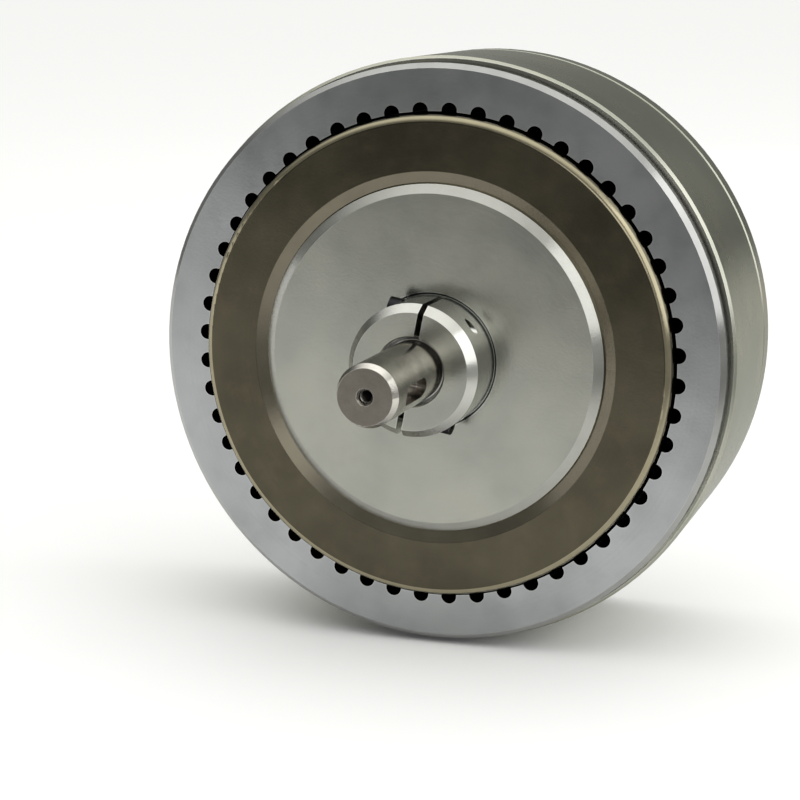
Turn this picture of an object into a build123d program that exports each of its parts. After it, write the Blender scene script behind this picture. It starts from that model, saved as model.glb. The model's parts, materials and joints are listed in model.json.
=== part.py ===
from build123d import *
import os

# A large hysteresis brake with its shaft along Y. The front, where the shaft comes out, faces -Y.
# The origin is on the shaft's axis, in the rear face that bolts to a machine.
# Lengths are in millimetres, angles in degrees, clockwise from +Z as seen from the front.

# Casing
body_length = 93.0
casing_radius = 123.0
casing_wall = 13.0
casing_setback = 11.2
casing_chamfer = 1.1
casing_land = 0.2
joint_bevel = 1.6

# Rear plate and its mounting interface
rear_plate_thickness = 12.2
plate_spigot_length = 4.0
plate_chamfer = 1.0
pilot_radius = 35.0
pilot_height = 4.0
pilot_chamfer = 0.5
pilot_margin = 1.0
mount_circle_radius = 80.0
mount_hole_count = 6
mount_hole_start = 30.0
mount_hole_radius = 3.4
mount_hole_depth = 11.0

# Notched pole ring in the casing's mouth
mouth_gap = 1.2
mouth_depth = 2.5
ring_chamfer = 2.1
pole_ring_wall = 8.8
pole_length = 40.0
notch_count = 52
notch_radius = 3.3
notch_inset = 0.4
notch_phase = 3.25

# Inner pole, which carries the bearings and goes through the coil
pole_setback = 4.0
pole_rim = 12.0
pole_web = 10.0
bearing_boss_radius = 40.0
neck_radius = 60.0
core_bore_radius = 27.0

# Drag cup, the hysteresis ring that turns in the gap between the poles
air_gap = 1.1
cup_wall = 4.5
cup_web = 4.3
cup_face_width = 27.9
cup_stand_out = 5.2
cup_corner_radius = 3.2
cup_bevel_width = 5.2
cup_bevel_depth = 2.2
skirt_setback = 1.5

# Hub that carries the cup: a disc, a flange behind the cup's web, and a split clamp
disc_stand_out = 6.3
disc_bevel_width = 3.7
disc_bevel_depth = 2.4
hub_flange_width = 12.8
hub_flange_thickness = 3.3
hub_radius = 27.2
hub_length = 27.3
hub_chamfer_width = 3.2
hub_chamfer_length = 4.2
hub_bore_chamfer = 0.5
hub_relief_width = 1.1
hub_relief_depth = 1.0
slit_width = 2.4
slit_tilt = 11.1

# Shaft
shaft_radius = 12.5
shaft_reach = 87.8
tip_chamfer_width = 1.4
tip_chamfer_length = 3.4
centre_hole_radius = 2.5
centre_hole_depth = 16.0
centre_sink_radius = 3.4
keyway_width = 8.0
keyway_depth = 4.0
keyway_length = 25.0
keyway_setback = 12.8
keyway_clock = 99.0
hub_seat_radius = 14.0
hub_seat_setback = 5.0
shoulder_radius = 17.5
shaft_tail = 1.5

# Ball bearings, sealed on both sides, each modelled as its two races
front_bearing_bore = 30.0
front_bearing_outer = 62.0
front_bearing_width = 16.0
front_bearing_setback = 8.0
rear_bearing_bore = 25.0
rear_bearing_outer = 52.0
rear_bearing_width = 15.0
race_wall = 4.0
shield_thickness = 1.2
shield_gap = 0.3

# Retaining rings and the spring that preloads the rear bearing
bore_ring_thickness = 2.0
bore_ring_depth = 1.5
shaft_ring_thickness = 1.5
shaft_ring_depth = 0.7
retaining_ring_width = 4.0
retaining_ring_opening = 40.0
groove_slack = 0.1
spring_height = 3.2
spring_thickness = 0.6
spring_width = 5.0

# Coil on its bobbin
bobbin_wall = 2.0
bobbin_setback = 2.0
bobbin_slack = 0.3
bobbin_rim_gap = 1.0
coil_inset = 5.0

# Lead outlet in the casing's side
lead_hole_radius = 6.0
lead_bore_radius = 2.6
grommet_flange_radius = 8.5
grommet_flange_height = 3.0
grommet_chamfer = 1.0

# Screws
plate_screw_radius = 2.5
plate_screw_count = 6
plate_screw_grip = 11.0
core_screw_radius = 4.0
core_screw_count = 4
core_screw_start = 45.0
core_screw_grip = 15.0
clamp_screw_radius = 2.5
clamp_screw_height = 12.0
clamp_jaw_thickness = 11.5
clamp_screw_length = 25.0
cup_screw_radius = 2.0
cup_screw_count = 6
cup_screw_grip = 3.0
thread_end_room = 1.0

# Clearances, all on the radius
seat_fit = 0.02
screw_fit = 0.08
head_room = 0.5
winding_fit = 0.05

# Stations along the shaft
pole_face = -body_length
casing_front = pole_face + casing_setback
lip_seat = casing_front + mouth_depth
pole_end = pole_face + pole_length
plate_front = -rear_plate_thickness
spigot_face = plate_front - plate_spigot_length
inner_front = pole_face + pole_setback
cup_front = pole_face - cup_stand_out
web_rear = cup_front + cup_web
skirt_end = pole_end - skirt_setback
disc_front = pole_face - disc_stand_out
hub_front = disc_front - hub_length
hub_rear = web_rear + hub_flange_thickness
shaft_tip = pole_face - shaft_reach
front_bearing_start = inner_front + front_bearing_setback
front_bearing_end = front_bearing_start + front_bearing_width
rear_bearing_end = spigot_face - spring_height
rear_bearing_start = rear_bearing_end - rear_bearing_width
shaft_end = rear_bearing_end + shaft_tail

# Radii that follow from the pieces they meet
casing_bore = casing_radius - casing_wall
mouth_radius = casing_radius - casing_chamfer - casing_land
ring_radius = mouth_radius - mouth_gap
bore_radius = casing_bore - pole_ring_wall
cup_radius = bore_radius - air_gap
cup_bore = cup_radius - cup_wall
pole_radius = cup_bore - air_gap
disc_radius = cup_radius - cup_face_width
hub_flange_radius = disc_radius + hub_flange_width
front_seat = front_bearing_outer / 2 + seat_fit
rear_seat = rear_bearing_outer / 2 + seat_fit
front_journal = front_bearing_bore / 2 - seat_fit
rear_journal = rear_bearing_bore / 2 - seat_fit
hub_bore = hub_seat_radius + seat_fit
plate_screw_circle = casing_bore + casing_wall / 2
cup_screw_circle = (disc_radius + hub_flange_radius) / 2
clamp_screw_offset = (hub_bore + hub_radius) / 2
bobbin_radius = casing_bore - bobbin_rim_gap
bobbin_bore = neck_radius + bobbin_slack
coil_radius = bobbin_radius - coil_inset
bobbin_front = pole_end + bobbin_setback
lead_station = (bobbin_front + spigot_face) / 2

# Planes square to the shaft: one that faces front at any station, and the rear face
rear_face = Plane(origin=(0, 0, 0), x_dir=(1, 0, 0), z_dir=(0, 1, 0))


def facing_front(station):
    return Plane.XZ.offset(-station)


def half_section(*corners):
    with BuildSketch(Plane.XY) as section:
        with BuildLine():
            Polyline(*corners, close=True)
        make_face()
    return section.sketch


def ring_section(inner, outer, start, end):
    return half_section((inner, start), (outer, start), (outer, end), (inner, end))


# A socket head cap screw follows the usual proportions, with the origin in its head's seat
def cap_head_radius(shank_radius):
    return 1.5 * shank_radius + 0.5


def cap_head_height(shank_radius):
    return 2 * shank_radius


def cap_screw(shank_radius, length):
    head_height = cap_head_height(shank_radius)
    with BuildPart() as screw:
        Cylinder(shank_radius, length, align=(Align.CENTER, Align.CENTER, Align.MAX))
        Cylinder(cap_head_radius(shank_radius), head_height, align=(Align.CENTER, Align.CENTER, Align.MIN))
        with BuildSketch(Plane.XY.offset(head_height)):
            RegularPolygon(0.8 * shank_radius, 6, major_radius=False)
        extrude(amount=-head_height / 2, mode=Mode.SUBTRACT)
    return screw.part


# A countersunk screw has a head twice as wide as its shank, and its origin in the head's top
def sunk_screw(shank_radius, length):
    head_radius = 2 * shank_radius - screw_fit
    with BuildPart() as screw:
        with BuildSketch(Plane.XZ):
            with BuildLine():
                Polyline(
                    (0, 0),
                    (head_radius, 0),
                    (shank_radius, shank_radius - head_radius),
                    (shank_radius, -length),
                    (0, -length),
                    close=True,
                )
            make_face()
        revolve(axis=Axis.Z)
        with BuildSketch(Plane.XY):
            RegularPolygon(0.6 * shank_radius, 6, major_radius=False)
        extrude(amount=-0.6 * shank_radius, mode=Mode.SUBTRACT)
    return screw.part


# Notched pole ring: its lip seats in the casing's mouth and its sleeve fits the casing's bore
with BuildPart() as front_pole_ring:
    revolve(
        half_section(
            (bore_radius, pole_face),
            (ring_radius - ring_chamfer, pole_face),
            (ring_radius, pole_face + ring_chamfer),
            (ring_radius, lip_seat),
            (casing_bore - seat_fit, lip_seat),
            (casing_bore - seat_fit, pole_end),
            (bore_radius, pole_end),
        ),
        axis=Axis.Y,
    )
    with BuildSketch(facing_front(pole_face)):
        with PolarLocations(bore_radius + notch_inset, notch_count, 90 - notch_phase):
            Circle(notch_radius)
    extrude(amount=-pole_length, mode=Mode.SUBTRACT)
front_pole_ring.part.label = "front_pole_ring"

# Casing tube, with tapped holes for the rear plate and the outlet for the coil's leads
with BuildPart() as field_housing:
    revolve(
        half_section(
            (casing_bore, lip_seat),
            (mouth_radius, lip_seat),
            (mouth_radius, casing_front),
            (casing_radius - casing_chamfer, casing_front),
            (casing_radius, casing_front + casing_chamfer),
            (casing_radius, plate_front - joint_bevel),
            (casing_radius - joint_bevel, plate_front),
            (casing_bore, plate_front),
        ),
        axis=Axis.Y,
    )
    with BuildSketch(facing_front(plate_front)):
        with PolarLocations(plate_screw_circle, plate_screw_count):
            Circle(plate_screw_radius + screw_fit)
    extrude(amount=plate_screw_grip + thread_end_room, mode=Mode.SUBTRACT)
    with BuildSketch(Plane.YZ.offset(-casing_radius)):
        with Locations((lead_station, 0)):
            Circle(lead_hole_radius)
    extrude(amount=casing_radius, mode=Mode.SUBTRACT)
field_housing.part.label = "field_housing"

# Rear plate: a spigot centres it in the casing, a pilot centres the brake on its bracket
plate_screw_sink = cap_head_height(plate_screw_radius) + head_room
core_screw_sink = cap_head_height(core_screw_radius) + head_room
core_screw_circle = pilot_radius + pilot_margin + head_room + cap_head_radius(core_screw_radius)
with BuildPart() as rear_plate:
    revolve(
        half_section(
            (0, spigot_face),
            (casing_bore - seat_fit, spigot_face),
            (casing_bore - seat_fit, plate_front),
            (casing_radius - joint_bevel, plate_front),
            (casing_radius, plate_front + joint_bevel),
            (casing_radius, -plate_chamfer),
            (casing_radius - plate_chamfer, 0),
            (pilot_radius, 0),
            (pilot_radius, pilot_height - pilot_chamfer),
            (pilot_radius - pilot_chamfer, pilot_height),
            (0, pilot_height),
        ),
        axis=Axis.Y,
    )
    with Locations(rear_face):
        with PolarLocations(plate_screw_circle, plate_screw_count):
            CounterBoreHole(
                plate_screw_radius + screw_fit,
                cap_head_radius(plate_screw_radius) + head_room,
                plate_screw_sink,
            )
        with PolarLocations(core_screw_circle, core_screw_count, -core_screw_start):
            CounterBoreHole(
                core_screw_radius + screw_fit,
                cap_head_radius(core_screw_radius) + head_room,
                core_screw_sink,
            )
        with PolarLocations(mount_circle_radius, mount_hole_count, -mount_hole_start):
            Hole(mount_hole_radius, mount_hole_depth)
rear_plate.part.label = "rear_plate"

# Inner pole: a notched rim under the cup, a web, a boss for the front bearing, and the coil's core
with BuildPart() as inner_pole:
    revolve(
        half_section(
            (front_seat, inner_front),
            (bearing_boss_radius, inner_front),
            (bearing_boss_radius, pole_end - pole_web),
            (pole_radius - pole_rim, pole_end - pole_web),
            (pole_radius - pole_rim, inner_front),
            (pole_radius, inner_front),
            (pole_radius, pole_end),
            (neck_radius, pole_end),
            (neck_radius, spigot_face),
            (rear_seat, spigot_face),
            (rear_seat, rear_bearing_start),
            (core_bore_radius, rear_bearing_start),
            (core_bore_radius, front_bearing_end),
            (front_seat, front_bearing_end),
        ),
        axis=Axis.Y,
    )
    revolve(
        ring_section(
            front_seat - bore_ring_depth,
            front_seat + bore_ring_depth,
            front_bearing_start - bore_ring_thickness - groove_slack,
            front_bearing_start,
        ),
        axis=Axis.Y,
        mode=Mode.SUBTRACT,
    )
    with BuildSketch(facing_front(inner_front)):
        with PolarLocations(pole_radius - notch_inset, notch_count, 90 - notch_phase + 180 / notch_count):
            Rectangle(2 * (notch_radius + notch_inset), 2 * notch_radius)
    extrude(amount=inner_front - pole_end, mode=Mode.SUBTRACT)
    with BuildSketch(facing_front(spigot_face)):
        with PolarLocations(core_screw_circle, core_screw_count, core_screw_start):
            Circle(core_screw_radius + screw_fit)
    extrude(amount=core_screw_grip + thread_end_room, mode=Mode.SUBTRACT)
inner_pole.part.label = "inner_pole"

# Drag cup, bevelled where its web meets the disc
with BuildPart() as drag_cup:
    revolve(
        half_section(
            (disc_radius + seat_fit, cup_front + cup_bevel_depth),
            (disc_radius + seat_fit + cup_bevel_width, cup_front),
            (cup_radius, cup_front),
            (cup_radius, skirt_end),
            (cup_bore, skirt_end),
            (cup_bore, web_rear),
            (disc_radius + seat_fit, web_rear),
        ),
        axis=Axis.Y,
    )
    rims = drag_cup.edges().filter_by(GeomType.CIRCLE).group_by(Axis.Y)[0]
    fillet(rims.sort_by(SortBy.RADIUS)[-1], radius=cup_corner_radius)
    with BuildSketch(facing_front(web_rear)):
        with PolarLocations(cup_screw_circle, cup_screw_count):
            Circle(cup_screw_radius + screw_fit)
    extrude(amount=cup_screw_grip + screw_fit, mode=Mode.SUBTRACT)
drag_cup.part.label = "drag_cup"

# Hub, turned first, then slit across and drilled for its two clamp screws
hub_plane = Plane(facing_front(disc_front).location * Rotation(0, 0, -slit_tilt))
clamp_head_top = slit_width / 2 + clamp_jaw_thickness + cap_head_height(clamp_screw_radius)


def clamp_plane(side):
    head_top = (side * clamp_head_top, -side * clamp_screw_offset, clamp_screw_height)
    return Plane(
        origin=hub_plane.from_local_coords(head_top),
        x_dir=hub_plane.z_dir,
        z_dir=hub_plane.x_dir * side,
    )


clamp_planes = [clamp_plane(1), clamp_plane(-1)]
with BuildPart() as rotor_hub:
    revolve(
        half_section(
            (hub_bore + hub_bore_chamfer, hub_front),
            (hub_radius - hub_chamfer_width, hub_front),
            (hub_radius, hub_front + hub_chamfer_length),
            (hub_radius, disc_front + hub_relief_depth),
            (hub_radius + hub_relief_width, disc_front + hub_relief_depth),
            (hub_radius + hub_relief_width, disc_front),
            (disc_radius - disc_bevel_width, disc_front),
            (disc_radius, disc_front + disc_bevel_depth),
            (disc_radius, web_rear),
            (hub_flange_radius, web_rear),
            (hub_flange_radius, hub_rear),
            (hub_bore, hub_rear),
            (hub_bore, hub_front + hub_bore_chamfer),
        ),
        axis=Axis.Y,
    )
    with BuildSketch(hub_plane):
        Rectangle(slit_width, 2 * hub_radius)
    extrude(amount=hub_length, mode=Mode.SUBTRACT)
    with Locations(*clamp_planes):
        CounterBoreHole(
            clamp_screw_radius + screw_fit,
            cap_head_radius(clamp_screw_radius) + head_room,
            cap_head_height(clamp_screw_radius),
            depth=2 * hub_radius,
        )
    with Locations(rear_face.offset(hub_rear)):
        with PolarLocations(cup_screw_circle, cup_screw_count):
            CounterSinkHole(
                cup_screw_radius + screw_fit,
                2 * cup_screw_radius,
                depth=hub_flange_thickness,
                counter_sink_angle=90,
            )
rotor_hub.part.label = "rotor_hub"

# Shaft, with a keyway that has round ends
keyway_middle = shaft_tip + keyway_setback + keyway_length / 2
key_plane = Plane(origin=(0, keyway_middle, 0), x_dir=(0, 1, 0), z_dir=(1, 0, 0))
key_plane = key_plane.rotated((0, keyway_clock - 90, 0))
with BuildPart() as shaft:
    revolve(
        half_section(
            (0, shaft_tip),
            (shaft_radius - tip_chamfer_width, shaft_tip),
            (shaft_radius, shaft_tip + tip_chamfer_length),
            (shaft_radius, hub_front + hub_seat_setback),
            (hub_seat_radius, hub_front + hub_seat_setback),
            (hub_seat_radius, hub_rear),
            (front_journal, hub_rear),
            (front_journal, front_bearing_end),
            (shoulder_radius, front_bearing_end),
            (shoulder_radius, rear_bearing_start),
            (rear_journal, rear_bearing_start),
            (rear_journal, shaft_end),
            (0, shaft_end),
        ),
        axis=Axis.Y,
    )
    revolve(
        ring_section(
            front_journal - shaft_ring_depth,
            front_journal + shaft_ring_depth,
            front_bearing_start - shaft_ring_thickness - groove_slack,
            front_bearing_start,
        ),
        axis=Axis.Y,
        mode=Mode.SUBTRACT,
    )
    with Locations(facing_front(shaft_tip)):
        CounterSinkHole(centre_hole_radius, centre_sink_radius, centre_hole_depth, counter_sink_angle=60)
    with BuildSketch(key_plane.offset(shaft_radius - keyway_depth)):
        SlotOverall(keyway_length, keyway_width)
    extrude(amount=shaft_radius, mode=Mode.SUBTRACT)
shaft.part.label = "shaft"


# The outer race holds both shields, so it is one C-shaped section round the inner race
def outer_race(bore, outer, start, end):
    lip = bore / 2 + race_wall + shield_gap
    with BuildPart() as race:
        revolve(ring_section(lip, outer / 2, start, end), axis=Axis.Y)
        revolve(
            ring_section(lip, outer / 2 - race_wall, start + shield_thickness, end - shield_thickness),
            axis=Axis.Y,
            mode=Mode.SUBTRACT,
        )
    return race


def inner_race(bore, start, end):
    with BuildPart() as race:
        revolve(ring_section(bore / 2, bore / 2 + race_wall, start, end), axis=Axis.Y)
    return race


front_bearing_outer_race = outer_race(
    front_bearing_bore, front_bearing_outer, front_bearing_start, front_bearing_end
)
front_bearing_outer_race.part.label = "front_bearing_outer_race"
front_bearing_inner_race = inner_race(front_bearing_bore, front_bearing_start, front_bearing_end)
front_bearing_inner_race.part.label = "front_bearing_inner_race"
rear_bearing_outer_race = outer_race(
    rear_bearing_bore, rear_bearing_outer, rear_bearing_start, rear_bearing_end
)
rear_bearing_outer_race.part.label = "rear_bearing_outer_race"
rear_bearing_inner_race = inner_race(rear_bearing_bore, rear_bearing_start, rear_bearing_end)
rear_bearing_inner_race.part.label = "rear_bearing_inner_race"


# A retaining ring is a flat open ring, sprung into its groove against the front bearing
def retaining_ring(inner, outer, thickness, end):
    with BuildPart() as ring:
        revolve(
            ring_section(inner, outer, end - thickness, end),
            axis=Axis.Y,
            revolution_arc=360 - retaining_ring_opening,
        )
    return ring


bore_ring_radius = front_seat + bore_ring_depth - seat_fit
bearing_retaining_ring = retaining_ring(
    bore_ring_radius - retaining_ring_width, bore_ring_radius, bore_ring_thickness, front_bearing_start
)
bearing_retaining_ring.part.label = "bearing_retaining_ring"
shaft_ring_radius = front_journal - shaft_ring_depth + seat_fit
shaft_retaining_ring = retaining_ring(
    shaft_ring_radius, shaft_ring_radius + retaining_ring_width, shaft_ring_thickness, front_bearing_start
)
shaft_retaining_ring.part.label = "shaft_retaining_ring"

# Conical spring between the rear bearing's outer race and the rear plate
spring_outer = rear_seat - bobbin_slack
with BuildPart() as preload_spring:
    revolve(
        half_section(
            (spring_outer, rear_bearing_end),
            (spring_outer, rear_bearing_end + spring_thickness),
            (spring_outer - spring_width, spigot_face),
            (spring_outer - spring_width, spigot_face - spring_thickness),
        ),
        axis=Axis.Y,
    )
preload_spring.part.label = "preload_spring"

# Bobbin and winding, which fill the space behind the poles
with BuildPart() as coil_bobbin:
    revolve(
        half_section(
            (bobbin_bore, bobbin_front),
            (bobbin_radius, bobbin_front),
            (bobbin_radius, bobbin_front + bobbin_wall),
            (bobbin_bore + bobbin_wall, bobbin_front + bobbin_wall),
            (bobbin_bore + bobbin_wall, spigot_face - bobbin_wall),
            (bobbin_radius, spigot_face - bobbin_wall),
            (bobbin_radius, spigot_face),
            (bobbin_bore, spigot_face),
        ),
        axis=Axis.Y,
    )
coil_bobbin.part.label = "coil_bobbin"

with BuildPart() as field_coil:
    revolve(
        ring_section(
            bobbin_bore + bobbin_wall + winding_fit,
            coil_radius,
            bobbin_front + bobbin_wall,
            spigot_face - bobbin_wall,
        ),
        axis=Axis.Y,
    )
field_coil.part.label = "field_coil"

# Grommet in the casing's side, where the coil's leads come out
with BuildPart() as lead_grommet:
    with BuildSketch(Plane.XY):
        with BuildLine():
            Polyline(
                (-casing_bore, lead_station + lead_bore_radius),
                (-casing_bore, lead_station + lead_hole_radius - screw_fit),
                (-casing_radius, lead_station + lead_hole_radius - screw_fit),
                (-casing_radius, lead_station + grommet_flange_radius),
                (-casing_radius - grommet_flange_height, lead_station + grommet_flange_radius),
                (-casing_radius - grommet_flange_height, lead_station + lead_bore_radius),
                close=True,
            )
        make_face()
    revolve(axis=Axis((0, lead_station, 0), (1, 0, 0)))
    rims = lead_grommet.edges().filter_by(GeomType.CIRCLE).group_by(Axis.X)[0]
    chamfer(rims.sort_by(SortBy.RADIUS)[-1], length=grommet_chamfer)
lead_grommet.part.label = "lead_grommet"

# Screws, one group of solids for each size and place
plate_screw_length = rear_plate_thickness - plate_screw_sink + plate_screw_grip
core_screw_length = rear_plate_thickness + plate_spigot_length - core_screw_sink + core_screw_grip
with BuildPart() as rear_plate_screws:
    with Locations(rear_face.offset(-plate_screw_sink)):
        with PolarLocations(plate_screw_circle, plate_screw_count):
            add(cap_screw(plate_screw_radius, plate_screw_length))
rear_plate_screws.part.label = "rear_plate_screws"

with BuildPart() as core_screws:
    with Locations(rear_face.offset(-core_screw_sink)):
        with PolarLocations(core_screw_circle, core_screw_count, -core_screw_start):
            add(cap_screw(core_screw_radius, core_screw_length))
core_screws.part.label = "core_screws"

with BuildPart() as clamp_screws:
    with Locations(*[plane.offset(-cap_head_height(clamp_screw_radius)) for plane in clamp_planes]):
        add(cap_screw(clamp_screw_radius, clamp_screw_length))
clamp_screws.part.label = "clamp_screws"

with BuildPart() as cup_screws:
    with Locations(rear_face.offset(hub_rear)):
        with PolarLocations(cup_screw_circle, cup_screw_count):
            add(sunk_screw(cup_screw_radius, hub_flange_thickness + cup_screw_grip))
cup_screws.part.label = "cup_screws"

pieces = (
    front_pole_ring,
    field_housing,
    rear_plate,
    inner_pole,
    drag_cup,
    rotor_hub,
    shaft,
    front_bearing_outer_race,
    front_bearing_inner_race,
    rear_bearing_outer_race,
    rear_bearing_inner_race,
    bearing_retaining_ring,
    shaft_retaining_ring,
    preload_spring,
    coil_bobbin,
    field_coil,
    lead_grommet,
    rear_plate_screws,
    core_screws,
    clamp_screws,
    cup_screws,
)
os.makedirs("parts", exist_ok=True)
for piece in pieces:
    export_step(piece.part, f"parts/{piece.part.label}.step")
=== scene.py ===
import bmesh
import bpy
import json
import math
from mathutils import Matrix, Vector


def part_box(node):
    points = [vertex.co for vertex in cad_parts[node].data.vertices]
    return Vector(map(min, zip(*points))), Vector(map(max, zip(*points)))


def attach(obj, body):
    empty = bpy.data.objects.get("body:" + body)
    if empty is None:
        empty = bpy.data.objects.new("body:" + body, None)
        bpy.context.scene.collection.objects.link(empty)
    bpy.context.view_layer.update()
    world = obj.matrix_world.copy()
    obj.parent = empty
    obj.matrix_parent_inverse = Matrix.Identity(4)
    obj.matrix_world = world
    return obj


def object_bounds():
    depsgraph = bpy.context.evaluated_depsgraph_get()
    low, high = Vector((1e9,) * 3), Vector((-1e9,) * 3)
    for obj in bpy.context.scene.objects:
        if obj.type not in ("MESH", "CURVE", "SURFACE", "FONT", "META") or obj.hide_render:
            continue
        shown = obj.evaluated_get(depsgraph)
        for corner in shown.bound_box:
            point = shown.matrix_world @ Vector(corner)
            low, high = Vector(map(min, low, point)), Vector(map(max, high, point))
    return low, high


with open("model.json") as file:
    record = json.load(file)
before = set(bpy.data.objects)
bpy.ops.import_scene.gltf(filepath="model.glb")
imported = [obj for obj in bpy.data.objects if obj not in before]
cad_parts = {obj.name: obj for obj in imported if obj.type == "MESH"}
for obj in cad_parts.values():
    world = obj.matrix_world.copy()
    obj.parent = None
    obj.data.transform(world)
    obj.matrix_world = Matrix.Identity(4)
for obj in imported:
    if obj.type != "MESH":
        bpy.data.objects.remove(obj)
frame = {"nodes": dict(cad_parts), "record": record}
cadLow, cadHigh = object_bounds()
nodes = frame["nodes"]
mm = 0.001
print("frame loaded with", len(nodes), "nodes")


class Wire:  # one socket of a shader; an expression on it adds the Math nodes that work it out
    def __init__(self, tree, socket=None):
        self.tree = tree
        self.socket = socket

    # Settings are set first, then the sockets, by name or number, to a value or a wire
    def node(self, kind, settings=None, sockets=None):
        made = self.tree.nodes.new("ShaderNode" + kind)
        for name, value in (settings or {}).items():
            setattr(made, name, value)
        for name, value in (sockets or {}).items():
            if isinstance(value, Wire):
                self.tree.links.new(value.socket, made.inputs[name])
            else:
                made.inputs[name].default_value = value
        return Wire(self.tree, made.outputs[0] if made.outputs else None)

    def output(self, name):
        return Wire(self.tree, self.socket.node.outputs[name])

    def maths(self, operation, *values):
        return self.node("Math", {"operation": operation}, dict(enumerate(values)))

    def __add__(self, other):
        return self.maths("ADD", self, other)

    def __radd__(self, other):
        return self.maths("ADD", other, self)

    def __sub__(self, other):
        return self.maths("SUBTRACT", self, other)

    def __rsub__(self, other):
        return self.maths("SUBTRACT", other, self)

    def __mul__(self, other):
        return self.maths("MULTIPLY", self, other)

    def __rmul__(self, other):
        return self.maths("MULTIPLY", other, self)

    def __truediv__(self, other):
        return self.maths("DIVIDE", self, other)


def vectorMaths(operation, first, *others):
    made = first.node("VectorMath", {"operation": operation}, dict(enumerate((first, *others))))
    return made.output("Value") if operation in ("LENGTH", "DOT_PRODUCT") else made


def scaled(vector, factor):
    return vector.node("VectorMath", {"operation": "SCALE"}, {"Vector": vector, "Scale": factor})


def blendColours(factor, first, second):
    return factor.node("Mix", {"data_type": "RGBA"}, {0: factor, 6: first, 7: second}).output(2)


# 0 below start, 1 above end, smooth between them
def step(value, start, end):
    return value.node(
        "MapRange",
        {"interpolation_type": "SMOOTHSTEP"},
        {"Value": value, "From Min": start, "From Max": end},
    )


# Texture is the detail and the roughness of the noise
def noise(vector, scale, texture):
    detail, roughness = texture
    return vector.node(
        "TexNoise", None, {"Vector": vector, "Scale": scale, "Detail": detail, "Roughness": roughness}
    )


# Noise along the profile only, for marks that run all the way round
def ringNoise(along, pitch, texture):
    detail, roughness = texture
    return along.node(
        "TexNoise",
        {"noise_dimensions": "1D"},
        {"W": along / pitch, "Scale": 1.0, "Detail": detail, "Roughness": roughness},
    )


def turnedInto(normal, oldSpace, newSpace):
    return normal.node(
        "VectorTransform",
        {"vector_type": "NORMAL", "convert_from": oldSpace, "convert_to": newSpace},
        {"Vector": normal},
    )


# Where a point of a turned piece is: its station on the shaft's axis, its radius, the way out from the axis,
# and how far along the profile it lies
def turnedPlace(wire):
    point = wire.node("TexCoord").output("Object")
    outward = vectorMaths("MULTIPLY", point, (1, 0, 1))
    station = point.node("SeparateXYZ", None, {0: point}).output("Y")
    radius = vectorMaths("LENGTH", outward)
    away = vectorMaths("NORMALIZE", outward)
    return {"point": point, "station": station, "radius": radius, "away": away, "along": radius + station}


# Detail and roughness of the noise behind each kind of mark on turned metal
markTexture = {
    "clouds": (2.0, 0.5),
    "mottle": (4.0, 0.65),
    "rings": (3.0, 0.6),
    "grooves": (1.0, 0.5),
    "pits": (3.0, 0.7),
}
markLevels = {"clouds": (0.3, 0.7), "stains": (0.5, 0.75), "rings": (0.4, 0.7)}  # where each fades in


# Grooves of the lathe tool run round the shaft's axis, so they tip the normal along the profile only
def grooved(wire, place, pitch, slope):
    normal = turnedInto(wire.node("NewGeometry").output("Normal"), "WORLD", "OBJECT")
    around = vectorMaths("CROSS_PRODUCT", place["away"], (0, 1, 0))
    profile = vectorMaths("CROSS_PRODUCT", around, normal)
    grooves = ringNoise(place["along"], pitch, markTexture["grooves"])
    tipped = vectorMaths("ADD", normal, scaled(profile, (grooves - 0.5) * slope))
    return turnedInto(vectorMaths("NORMALIZE", tipped), "OBJECT", "WORLD")


edgeSearch = {"samples": 6, "levels": (0.02, 0.2)}


# 1 on sharp edges, which are painted bright: partly wear from handling, partly a painted highlight where a
# rounded edge would catch light
def edgeMask(wire, reach):
    rounded = wire.node("Bevel", {"samples": edgeSearch["samples"]}, {"Radius": reach})
    flat = wire.node("NewGeometry").output("Normal")
    return step(1.0 - vectorMaths("DOT_PRODUCT", rounded, flat), *edgeSearch["levels"])


def newMaterial(name):
    material = bpy.data.materials.new(name)
    material.use_nodes = True
    tree = material.node_tree
    tree.nodes.clear()
    return material, Wire(tree)


def finishMaterial(wire, **sockets):
    named = {name.replace("_", " "): value for name, value in sockets.items()}
    shader = wire.node("BsdfPrincipled", None, named)
    wire.node("OutputMaterial", None, {"Surface": shader})


def rgb(red, green, blue):
    return (red, green, blue, 1.0)


zoneSoftness = 0.04  # millimetres


# 1 between two places in millimetres, with softened edges
def band(value, span):
    start, end = (place * mm for place in span)
    soft = zoneSoftness * mm
    return step(value, start - soft, start + soft) * step(value, end + soft, end - soft)
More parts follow.
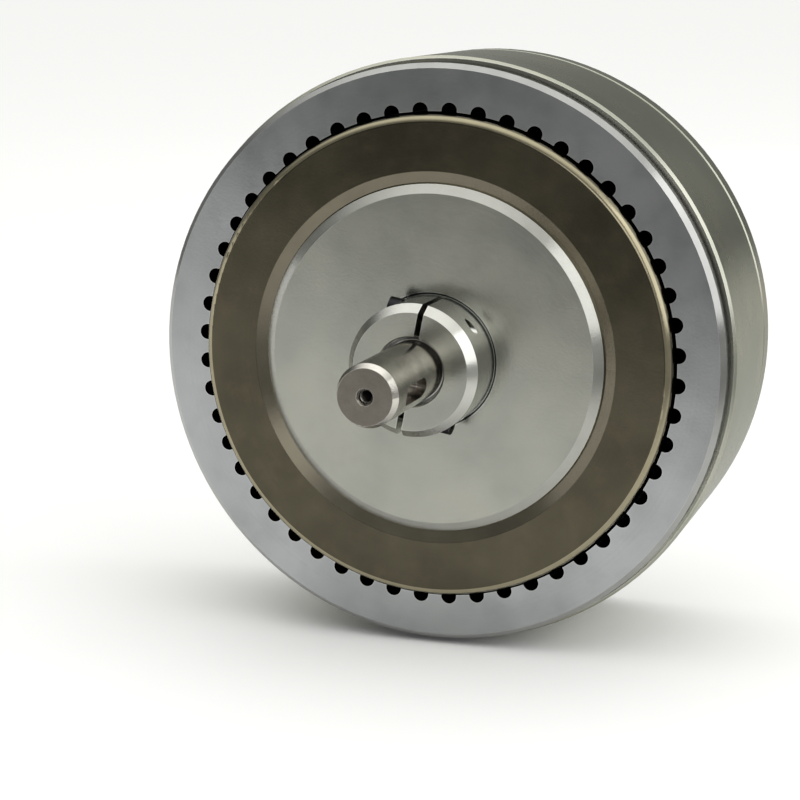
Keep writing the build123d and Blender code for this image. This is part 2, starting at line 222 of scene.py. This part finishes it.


# Turned and ground metals share one recipe; each finish has its own settings. A zone is a band of the piece
# between two radii and two stations, in millimetres, that was cut afresh or holds dirt, or that carries
# painted shade or a painted highlight.
def turnedMetal(name, look):
    material, wire = newMaterial(name)
    place = turnedPlace(wire)
    clouds = noise(place["point"], look["cloudScale"], markTexture["clouds"])
    mottle = noise(place["point"], look["mottleScale"], markTexture["mottle"])
    rings = ringNoise(place["along"], look["ringPitch"], markTexture["rings"])
    tone = blendColours(step(clouds, *markLevels["clouds"]), look["dark"], look["light"])
    tone = blendColours(step(mottle, *markLevels["stains"]) * look["stainTone"], tone, look["stainColour"])
    tone = blendColours(step(rings, *markLevels["rings"]) * look["ringTone"], tone, look["ringColour"])
    # Zones mix in their own colours: several are painted shade in recesses and painted highlights on bevels
    # and chamfers
    for radii, stations, colour in look["zones"]:
        zone = band(place["radius"], radii) * band(place["station"], stations)
        tone = blendColours(zone, tone, colour)
    # Sharp edges painted brighter: worn metal, and a painted highlight
    edge = edgeMask(wire, look["edgeReach"])
    tone = blendColours(edge * look["edgeWearAndHighlight"], tone, look["edgeColour"])
    tone = scaled(tone, 1.0 + (mottle - 0.5) * look["mottleTone"])
    roughness = look["roughness"] + (mottle - 0.5) * look["roughnessSwing"]
    normal = grooved(wire, place, look["groovePitch"], look["grooveSlope"])
    pits = noise(place["point"], look["pitScale"], markTexture["pits"])
    relief = wire.node(
        "Bump",
        None,
        {
            "Strength": look["reliefStrength"],
            "Distance": look["reliefDepth"],
            "Height": pits,
            "Normal": normal,
        },
    )
    finishMaterial(
        wire,
        Base_Color=tone,
        Metallic=look["metallic"],
        Roughness=roughness,
        Specular_Tint=look["specularTint"],
        Normal=relief,
    )
    return material


# Stations that the edges of the zones are measured from, in millimetres
tip, hubFront, cupFront, ringFront = (
    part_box(node)[0].y / mm for node in ("shaft", "rotor_hub", "drag_cup", "front_pole_ring")
)

platedPoleSteel = {
    "dark": rgb(0.29, 0.30, 0.302),
    "light": rgb(0.375, 0.386, 0.393),
    "cloudScale": 22.0,
    "mottleScale": 90.0,
    "mottleTone": 0.35,
    "stainTone": 0.25,
    "stainColour": rgb(0.25, 0.25, 0.235),
    "ringPitch": 0.0011,
    "ringTone": 0.08,
    "ringColour": rgb(0.24, 0.25, 0.255),
    "zones": [
        ((112, 130), (ringFront + 0.05, ringFront + 2.1), rgb(0.33, 0.33, 0.32)),  # bevel
        ((112, 130), (ringFront + 2.1, ringFront + 50), rgb(0.10, 0.095, 0.11)),  # side, painted shade: the ring's side and the step behind it darkened as if in shade
    ],
    "edgeReach": 0.0006,
    "edgeWearAndHighlight": 0.7,
    "edgeColour": rgb(0.75, 0.75, 0.72),
    "specularTint": rgb(1.0, 1.0, 1.0),
    "roughness": 0.18,
    "roughnessSwing": 0.10,
    "groovePitch": 0.00003,
    "grooveSlope": 0.22,
    "pitScale": 900.0,
    "reliefStrength": 0.08,
    "reliefDepth": 0.0002,
    "metallic": 1.0,
}
casingSteel = {
    **platedPoleSteel,
    "dark": rgb(0.315, 0.325, 0.267),
    "light": rgb(0.395, 0.395, 0.333),
    "cloudScale": 16.0,
    "mottleScale": 26.0,
    "mottleTone": 0.3,
    "stainTone": 0.5,
    "stainColour": rgb(0.44, 0.40, 0.31),
    "ringColour": rgb(0.30, 0.31, 0.25),
    "zones": [],
    "specularTint": rgb(0.5, 0.5, 0.47),
    "roughness": 0.27,
    "grooveSlope": 0.1,
    "reliefStrength": 0.03,
}
hysteresisAlloy = {
    **platedPoleSteel,
    "dark": rgb(0.066, 0.059, 0.041),
    "light": rgb(0.092, 0.082, 0.057),
    "cloudScale": 25.0,
    "stainColour": rgb(0.115, 0.090, 0.060),
    "ringPitch": 0.0008,
    "ringTone": 0.12,
    "ringColour": rgb(0.10, 0.09, 0.062),
    "zones": [
        ((60, 85), (cupFront + 0.05, cupFront + 2.3), rgb(0.155, 0.14, 0.105)),  # inner bevel
        ((97.4, 110), (cupFront - 1, cupFront + 6), rgb(0.30, 0.27, 0.185)),  # rounded rim, painted highlight: lighter tan where the rounded rim catches light
    ],
    "edgeWearAndHighlight": 0.85,
    "edgeColour": rgb(0.62, 0.55, 0.40),
    "roughnessSwing": 0.12,
}
turnedAluminium = {
    **platedPoleSteel,
    "dark": rgb(0.293, 0.299, 0.268),
    "light": rgb(0.354, 0.354, 0.314),
    "cloudScale": 24.0,
    "mottleScale": 60.0,
    "stainTone": 0.2,
    "stainColour": rgb(0.30, 0.285, 0.23),
    "ringPitch": 0.0016,
    "ringTone": 0.05,
    "ringColour": rgb(0.27, 0.275, 0.245),
    "zones": [
        ((20, 30), (hubFront + 0.05, hubFront + 4.2), rgb(0.50, 0.50, 0.465)),  # hub's chamfer, painted highlight: lighter than the aluminium where it catches light
        ((25, 29), (hubFront + 4.2, hubFront + 27.25), rgb(0.60, 0.60, 0.56)),  # hub's side, painted highlight: lighter than the aluminium, against the dark it mirrors
        ((27.25, 28.25), (hubFront + 27.35, hubFront + 29), rgb(0.03, 0.035, 0.035)),  # groove at its foot, painted shade: near black inside the groove
        ((60, 75), (hubFront + 27.35, hubFront + 29.7), rgb(0.38, 0.38, 0.35)),  # disc's bevel, painted highlight: lighter than the disc's face
        ((0, 14.3), (hubFront + 0.6, 500), rgb(0.08, 0.08, 0.075)),  # bore, painted shade: dark inside the hub's bore
    ],
    "edgeColour": rgb(0.85, 0.85, 0.80),
    "roughness": 0.20,
    "grooveSlope": 0.25,
}
groundShaft = {
    **platedPoleSteel,
    "dark": rgb(0.52, 0.50, 0.45),
    "light": rgb(0.66, 0.635, 0.58),
    "cloudScale": 90.0,
    "mottleScale": 220.0,
    "mottleTone": 0.6,
    "stainColour": rgb(0.30, 0.26, 0.22),
    "roughness": 0.17,
    "groovePitch": 0.0001,
    "grooveSlope": 0.12,
    "zones": [
        ((-1, 20), (tip - 1, tip + 0.06), rgb(0.155, 0.14, 0.12)),  # end face
        ((-1, 2.6), (tip + 0.5, tip + 20), rgb(0.04, 0.033, 0.028)),  # threaded hole, painted shade: dark inside the hole
        ((3.4, 12.3), (tip + 3.6, tip + 45), rgb(0.30, 0.28, 0.25)),  # keyway, painted shade: darker than the shaft inside the slot
        ((12.6, 14.05), (hubFront - 1, hubFront + 5.1), rgb(0.10, 0.10, 0.095)),  # seat in the hub's mouth, painted shade: dark where the shaft runs into the hub's mouth
    ],
}
coreSteel = {**casingSteel, "roughness": 0.34}
bearingSteel = {**groundShaft, "dark": rgb(0.45, 0.45, 0.45), "light": rgb(0.52, 0.52, 0.52), "zones": []}
springSteel = {
    **casingSteel,
    "dark": rgb(0.05, 0.05, 0.055),
    "light": rgb(0.09, 0.09, 0.095),
    "stainTone": 0.2,
    "stainColour": rgb(0.12, 0.11, 0.10),
}
tappedSteel = {
    **groundShaft,
    "dark": rgb(0.15, 0.14, 0.125),
    "light": rgb(0.23, 0.215, 0.19),
    "roughness": 0.3,
    "zones": [],
}
blackScrews = {
    **casingSteel,
    "dark": rgb(0.02, 0.02, 0.022),
    "light": rgb(0.04, 0.04, 0.042),
    "stainTone": 0.3,
    "stainColour": rgb(0.055, 0.05, 0.045),
    "ringTone": 0.0,
    "edgeColour": rgb(0.2, 0.2, 0.2),
    "roughness": 0.38,
}


# Moulded plastic, rubber and enamelled wire
def plainFinish(name, look):
    material, wire = newMaterial(name)
    point = wire.node("TexCoord").output("Object")
    mottle = noise(point, look["mottleScale"], look["mottleTexture"])
    tone = blendColours(step(mottle, *look["mottleLevels"]), look["dark"], look["light"])
    grain = noise(point, look["grainScale"], look["grainTexture"])
    relief = wire.node(
        "Bump", None, {"Strength": look["grainStrength"], "Distance": look["grainDepth"], "Height": grain}
    )
    roughness = look["roughness"] + (mottle - 0.5) * look["roughnessSwing"]
    finishMaterial(wire, Base_Color=tone, Metallic=look["metallic"], Roughness=roughness, Normal=relief)
    return material


grommetRubber = {
    "dark": rgb(0.018, 0.018, 0.018),
    "light": rgb(0.035, 0.034, 0.033),
    "mottleScale": 180.0,
    "mottleTexture": (4.0, 0.6),
    "mottleLevels": (0.35, 0.65),
    "grainScale": 2500.0,
    "grainTexture": (2.0, 0.6),
    "grainStrength": 0.4,
    "grainDepth": 0.0002,
    "roughness": 0.62,
    "roughnessSwing": 0.2,
    "metallic": 0.0,
}
bobbinPlastic = {**grommetRubber, "roughness": 0.45}
copperWinding = {
    **grommetRubber,
    "dark": rgb(0.42, 0.16, 0.06),
    "light": rgb(0.55, 0.25, 0.10),
    "roughness": 0.3,
    "metallic": 1.0,
}

finishes = {
    "casing_steel": turnedMetal("casingSteel", casingSteel),
    "plated_pole_steel": turnedMetal("platedPoleSteel", platedPoleSteel),
    "core_steel": turnedMetal("coreSteel", coreSteel),
    "hysteresis_alloy": turnedMetal("hysteresisAlloy", hysteresisAlloy),
    "turned_aluminium": turnedMetal("turnedAluminium", turnedAluminium),
    "ground_shaft": turnedMetal("groundShaft", groundShaft),
    "bearing_steel": turnedMetal("bearingSteel", bearingSteel),
    "spring_steel": turnedMetal("springSteel", springSteel),
    "black_screws": turnedMetal("blackScrews", blackScrews),
    "bobbin_plastic": plainFinish("bobbinPlastic", bobbinPlastic),
    "copper_winding": plainFinish("copperWinding", copperWinding),
    "grommet_rubber": plainFinish("grommetRubber", grommetRubber),
}
for part in frame["record"]["subparts"]:
    piece = nodes[part["node"]]
    finish = finishes[part["material_slot"]]
    if piece.data.materials:
        piece.material_slots[0].material = finish
    else:
        piece.data.materials.append(finish)
print("finishes given to", len(nodes), "nodes")

# Threads of the tapped holes: one in the shaft's end and six in the rear plate. Lengths are in millimetres. A
# mouth is the place on the hole's axis where the thread's first tooth starts.
boltPattern = next(mount for mount in frame["record"]["mounts"] if mount["kind"] == "bolt_pattern")
boltCircle, boltCount = boltPattern["dims"]["pcd_mm"] / 2, boltPattern["dims"]["count"]
boltTurns = [math.tau * (index + 0.5) / boltCount for index in range(boltCount)]
boltMouth = -0.8  # station of the six mouths, just inside the rear face
shaftMouth = tip + 2.1
threads = {
    "shaftEndThread": {
        "slot": "ground_shaft",
        "body": "rotor",
        "rootRadius": 2.58,
        "crestRadius": 2.24,
        "pitch": 1.0,
        "turns": 12,
        "inward": Vector((0, 1, 0)),
        "mouths": [Vector((0, shaftMouth, 0))],
    },
    "mountingThreads": {
        "slot": "casing_steel",
        "body": "housing",
        "rootRadius": 3.48,
        "crestRadius": 3.05,
        "pitch": 1.25,
        "turns": 7,
        "inward": Vector((0, -1, 0)),
        "mouths": [
            Vector((boltCircle * math.cos(turn), boltMouth, boltCircle * math.sin(turn)))
            for turn in boltTurns
        ],
    },
}
tooth = {"rootHalf": 0.42, "crestHalf": 0.06, "segments": 24}  # half widths in pitches, segments to a turn
tappedFinish = turnedMetal("tappedSteel", tappedSteel)
for name, thread in threads.items():
    shape = bmesh.new()
    inward, root, crest = thread["inward"], thread["rootRadius"], thread["crestRadius"]
    rootHalf, crestHalf = tooth["rootHalf"], tooth["crestHalf"]
    for mouth in thread["mouths"]:
        flanks = [(root, -rootHalf), (crest, -crestHalf), (crest, crestHalf), (root, rootHalf)]
        places = [mouth + Vector((out, 0, 0)) + along * thread["pitch"] * inward for out, along in flanks]
        profile = shape.faces.new([shape.verts.new(place * mm) for place in places])
        bmesh.ops.spin(
            shape,
            geom=[profile, *profile.edges, *profile.verts],
            cent=mouth * mm,
            axis=inward,
            dvec=inward * thread["pitch"] / tooth["segments"] * mm,
            angle=math.tau * thread["turns"],
            steps=tooth["segments"] * thread["turns"],
        )
    bmesh.ops.recalc_face_normals(shape, faces=shape.faces)
    mesh = bpy.data.meshes.new(name)
    shape.to_mesh(mesh)
    print(name, len(shape.faces), "faces, open edges:", sum(not edge.is_manifold for edge in shape.edges))
    shape.free()
    mesh.materials.append(tappedFinish)
    piece = bpy.data.objects.new(name, mesh)
    bpy.context.scene.collection.objects.link(piece)
    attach(piece, thread["body"])


# Camera at the photograph's place and viewing angle
view = {
    "place": (0.2620, -0.9297, 0.1578),
    "right": (0.94931, 0.31437, 0.0),
    "up": (-0.06170, 0.18631, 0.98055),
    "lens": 97.14,
    "sensor": 36.0,
}
right, up = Vector(view["right"]).normalized(), Vector(view["up"]).normalized()
back = right.cross(up)
cameraData = bpy.data.cameras.new("productCamera")
cameraData.lens = view["lens"]
cameraData.sensor_width = view["sensor"]
camera = bpy.data.objects.new("productCamera", cameraData)
camera.matrix_world = Matrix.Translation(view["place"]) @ Matrix((right, up, back)).transposed().to_4x4()
bpy.context.scene.collection.objects.link(camera)
bpy.context.scene.camera = camera

# A white floor under a bright ceiling of soft light. To the front right, out of the picture, the floor falls
# off to grey between the two distances of greyFall, measured along greySide. The air is dim near the horizon.
# The turned faces mirror both, so they grow darker towards their tops.
studio = {
    "floorReach": 40.0,
    "floorRoughness": 0.9,
    "floorColour": rgb(0.95, 0.95, 0.945),
    "greyColour": rgb(0.27, 0.27, 0.266),
    "greySide": (0.78, -0.625, 0.0),
    "greyFall": (0.24, 0.59),
    "airColour": rgb(0.29, 0.295, 0.285),
    "ceilingColour": rgb(1.58, 1.58, 1.55),
    "ceilingSide": (0.0, 0.0, 1.0),
    "ceilingRise": (0.40, 0.92),
}
bpy.ops.mesh.primitive_plane_add(size=2 * studio["floorReach"], location=(0, 0, cadLow.z))
floor = bpy.context.object
floor.name = "floor"
floorMaterial, wire = newMaterial("paleFloor")
ground = wire.node("TexCoord").output("Object")
greyness = step(vectorMaths("DOT_PRODUCT", ground, studio["greySide"]), *studio["greyFall"])
floorTone = blendColours(greyness, studio["floorColour"], studio["greyColour"])
finishMaterial(wire, Base_Color=floorTone, Roughness=studio["floorRoughness"])
floor.data.materials.append(floorMaterial)

world = bpy.data.worlds.new("studioAir")
bpy.context.scene.world = world
world.use_nodes = True
world.node_tree.nodes.clear()
wire = Wire(world.node_tree)
upward = vectorMaths("DOT_PRODUCT", wire.node("TexCoord").output("Generated"), studio["ceilingSide"])
ceiling = step(upward, *studio["ceilingRise"])
airColour = blendColours(ceiling, studio["airColour"], studio["ceilingColour"])
air = wire.node("Background", None, {"Color": airColour})
wire.node("OutputWorld", None, {"Surface": air})

# Place, target, size and energy of each soft box
softBoxes = {
    "rightSoftBox": ((2.80, -0.80, 1.24), (0, -0.1, 0), (4.4, 2.3), 59.0),
    "leftSoftBox": ((-1.36, -0.72, 0.19), (0, -0.1, 0), (1.2, 0.45), 1.5),
    "frontSoftBox": ((0.84, -4.0, 0.84), (0, -0.1, 0), (2.2, 1.0), 10.5),
    "backSoftBox": ((0.0, 2.5, 0.5), (0, 0, 0), (1.7, 0.55), 0.7),
}
for name, (place, target, size, energy) in softBoxes.items():
    data = bpy.data.lights.new(name, "AREA")
    data.shape = "RECTANGLE"
    data.size, data.size_y = size
    data.energy = energy
    lamp = bpy.data.objects.new(name, data)
    lamp.location = place
    lamp.rotation_euler = (Vector(target) - Vector(place)).to_track_quat("-Z", "Y").to_euler()
    lamp.visible_camera = False
    bpy.context.scene.collection.objects.link(lamp)
bpy.context.scene.view_settings.view_transform = "Standard"
print("camera, floor and lamps placed")
